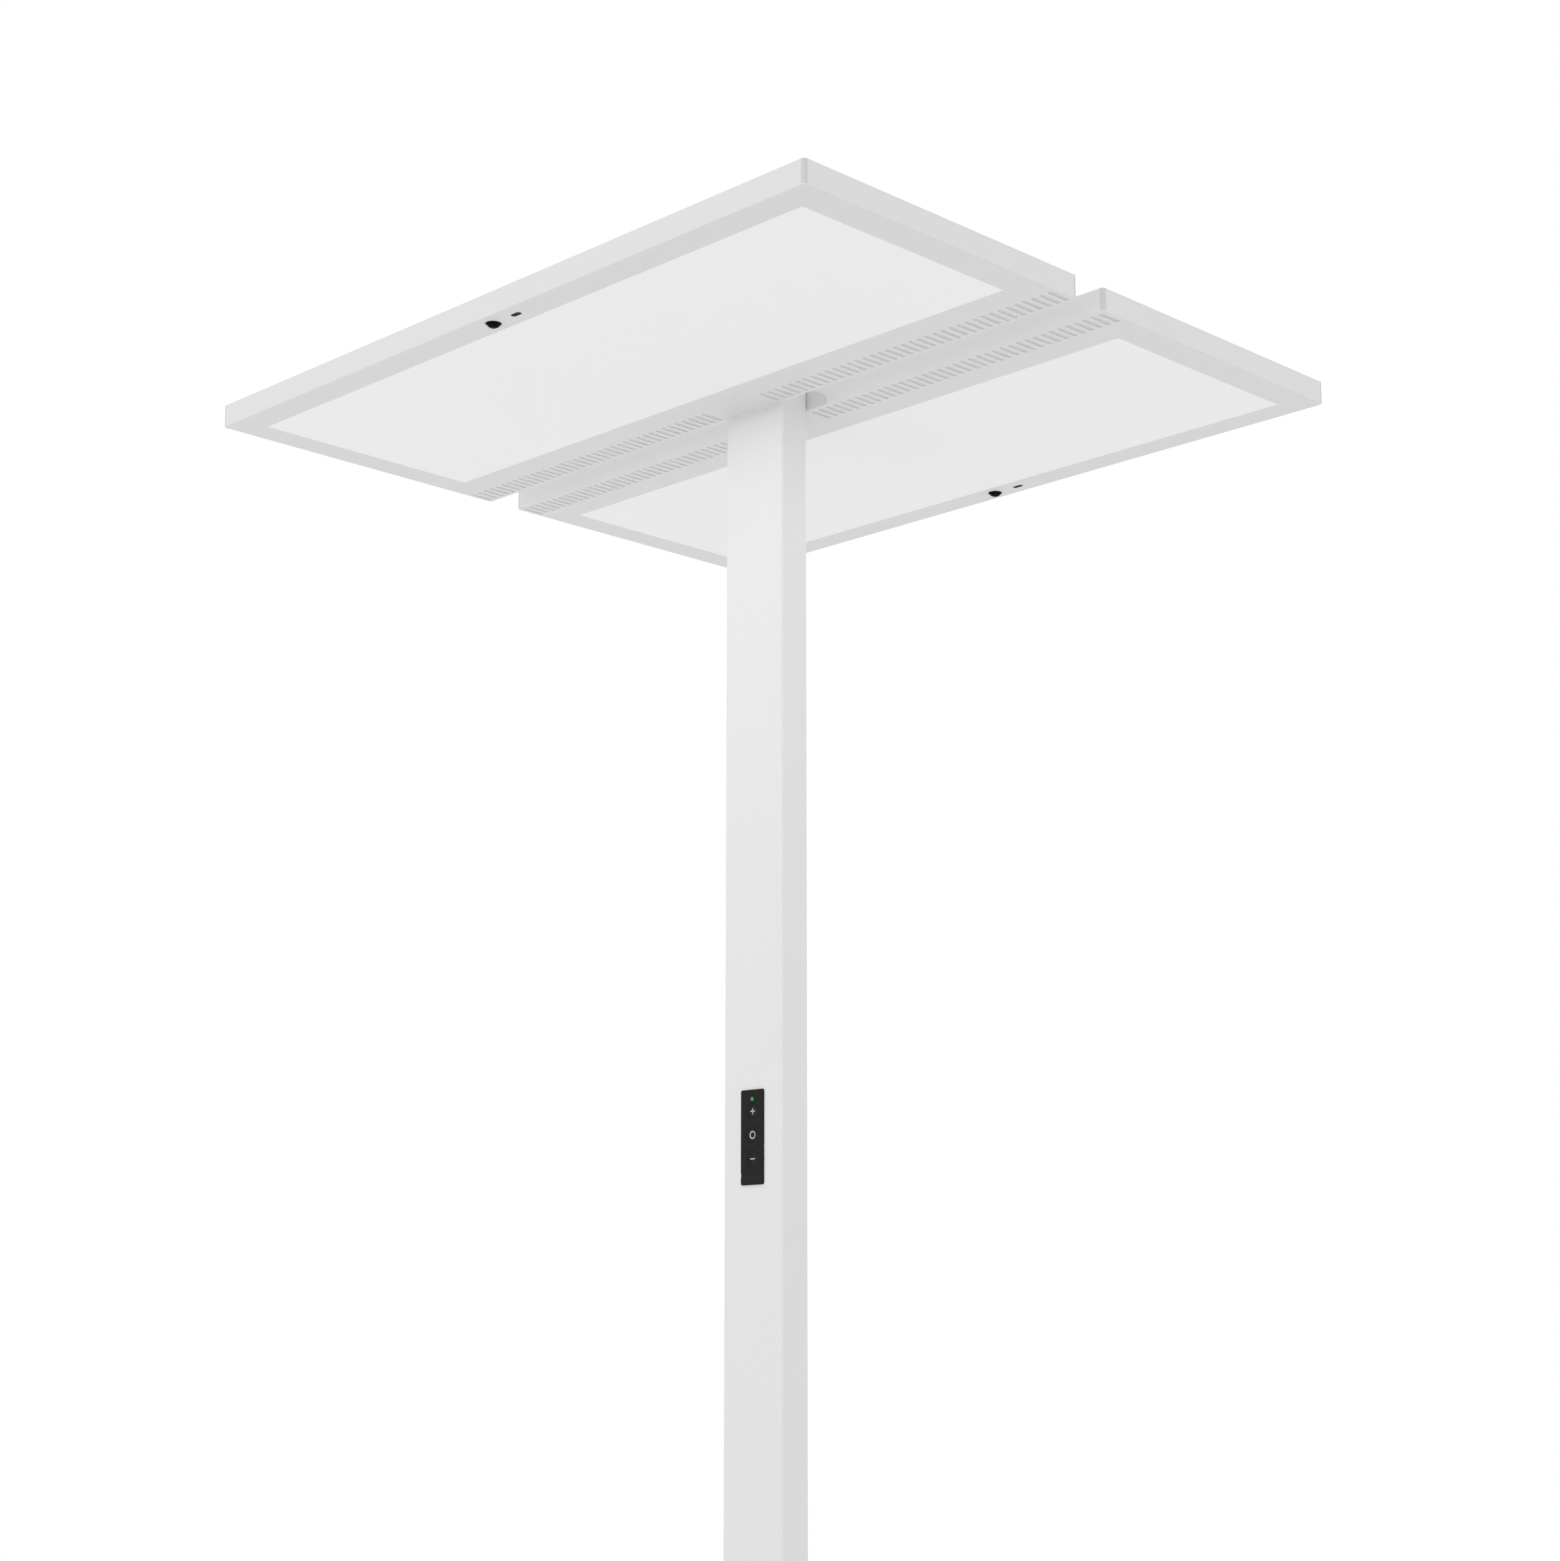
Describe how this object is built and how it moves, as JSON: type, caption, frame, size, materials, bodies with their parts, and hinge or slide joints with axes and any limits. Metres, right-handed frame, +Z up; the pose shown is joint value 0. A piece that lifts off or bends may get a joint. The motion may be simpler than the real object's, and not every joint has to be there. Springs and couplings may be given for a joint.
{
  "type": "office floor lamp",
  "caption": "Office floor lamp: a flat base plate, a rectangular pole with a push-button strip, and a flat light head in halves on either side of the pole.",
  "frame": {"origin": "on the floor under the pole's centre", "axes": "+Z up along the pole, +X along the head's panels, and the push-button strip faces -Y"},
  "size_m": [0.66, 0.584, 1.95],
  "materials": {
    "bare_aluminium": "mill finish",
    "black_lens": "infrared-clear, glossy",
    "black_plastic": "fine matt texture",
    "black_rubber": "matt",
    "cable_sheath": "white sheath",
    "clear_acrylic": "clear, polished",
    "green_board": "green solder mask",
    "green_pipe": "tinted clear",
    "grey_plastic": "moulded grey",
    "grey_symbol": "moulded light grey",
    "opal_acrylic": "matt opal, translucent",
    "white_aluminium": "satin white powder coat",
    "white_board": "white solder mask",
    "white_cap": "moulded white",
    "white_case": "moulded white",
    "white_film": "matt white",
    "white_steel": "satin white powder coat",
    "zinc_steel": "zinc plated"
  },
  "bodies": {
    "lamp": {"base_plate": "white_steel", "rubber_pads": "black_rubber", "foot_insert": "bare_aluminium", "base_screws": "zinc_steel", "foot_set_screws": "zinc_steel", "cord_bushing": "grey_plastic", "pole": "white_aluminium", "pole_cap": "white_cap", "pole_wiring": "cable_sheath", "wiring_clips": "grey_plastic", "head_block": "bare_aluminium", "head_set_screws": "zinc_steel", "head_beam": "zinc_steel", "beam_screws": "zinc_steel", "control_plate": "black_plastic", "control_housing": "black_plastic", "control_board": "green_board", "control_switches": "black_plastic", "indicator_light": "green_pipe", "front_tray": "white_aluminium", "front_lid": "white_aluminium", "front_diffuser": "opal_acrylic", "front_uplight_cover": "opal_acrylic", "front_light_guide": "clear_acrylic", "front_reflector": "white_film", "front_led_strips": "white_board", "front_carrier": "bare_aluminium", "front_uplight_board": "white_board", "front_drivers": "white_case", "front_vent_mesh": "white_film", "front_motion_lens": "black_lens", "front_light_sensor_lens": "black_lens", "front_sensor_board": "green_board", "front_lid_screws": "zinc_steel", "front_carrier_screws": "zinc_steel", "front_coupling_plate": "grey_plastic", "front_corner_covers": "grey_plastic", "rear_tray": "white_aluminium", "rear_lid": "white_aluminium", "rear_diffuser": "opal_acrylic", "rear_uplight_cover": "opal_acrylic", "rear_light_guide": "clear_acrylic", "rear_reflector": "white_film", "rear_led_strips": "white_board", "rear_carrier": "bare_aluminium", "rear_uplight_board": "white_board", "rear_drivers": "white_case", "rear_vent_mesh": "white_film", "rear_motion_lens": "black_lens", "rear_light_sensor_lens": "black_lens", "rear_sensor_board": "green_board", "rear_lid_screws": "zinc_steel", "rear_carrier_screws": "zinc_steel", "rear_coupling_plate": "grey_plastic", "rear_corner_covers": "grey_plastic"},
    "brighter_key": {"brighter_button": "black_plastic", "brighter_symbol": "grey_symbol"},
    "power_key": {"power_button": "black_plastic", "power_symbol": "grey_symbol"},
    "dimmer_key": {"dimmer_button": "black_plastic", "dimmer_symbol": "grey_symbol"}
  },
  "joints": [
    {"name": "brighter_press", "type": "slide", "parent": "lamp", "child": "brighter_key", "axis": [0, 1, 0], "range_m": [0, 0.0006], "stiffness_N_per_m": 2500},
    {"name": "power_press", "type": "slide", "parent": "lamp", "child": "power_key", "axis": [0, 1, 0], "range_m": [0, 0.0006], "stiffness_N_per_m": 2500},
    {"name": "dimmer_press", "type": "slide", "parent": "lamp", "child": "dimmer_key", "axis": [0, 1, 0], "range_m": [0, 0.0006], "stiffness_N_per_m": 2500}
  ]
}
